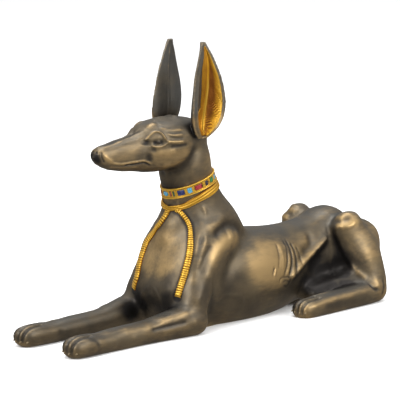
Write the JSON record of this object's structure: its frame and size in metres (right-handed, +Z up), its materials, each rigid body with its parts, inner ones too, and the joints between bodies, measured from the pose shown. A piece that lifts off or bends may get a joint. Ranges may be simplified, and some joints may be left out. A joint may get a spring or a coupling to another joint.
{
  "type": "reclining anubis figurine",
  "caption": "Jackal-headed god in hound form lying with raised head and tall ears, cast in dark bronze finish with a gilt jewelled collar and a ribbed scarf",
  "frame": {"origin": "middle of the bounding box's underside, on the surface the figure rests on", "axes": "the animal faces -Y, its left side is +X, +Z is up; the length from forepaws to haunches lies along Y"},
  "size_m": [0.1004, 0.2964, 0.1906],
  "materials": {
    "bronze_patina": "dark bronze patina, satin, rubbed golden on the high places, with painted gold and enamel on collar, scarf and ears"
  },
  "bodies": {
    "root": {"anubis_figurine": "bronze_patina"}
  },
  "joints": []
}
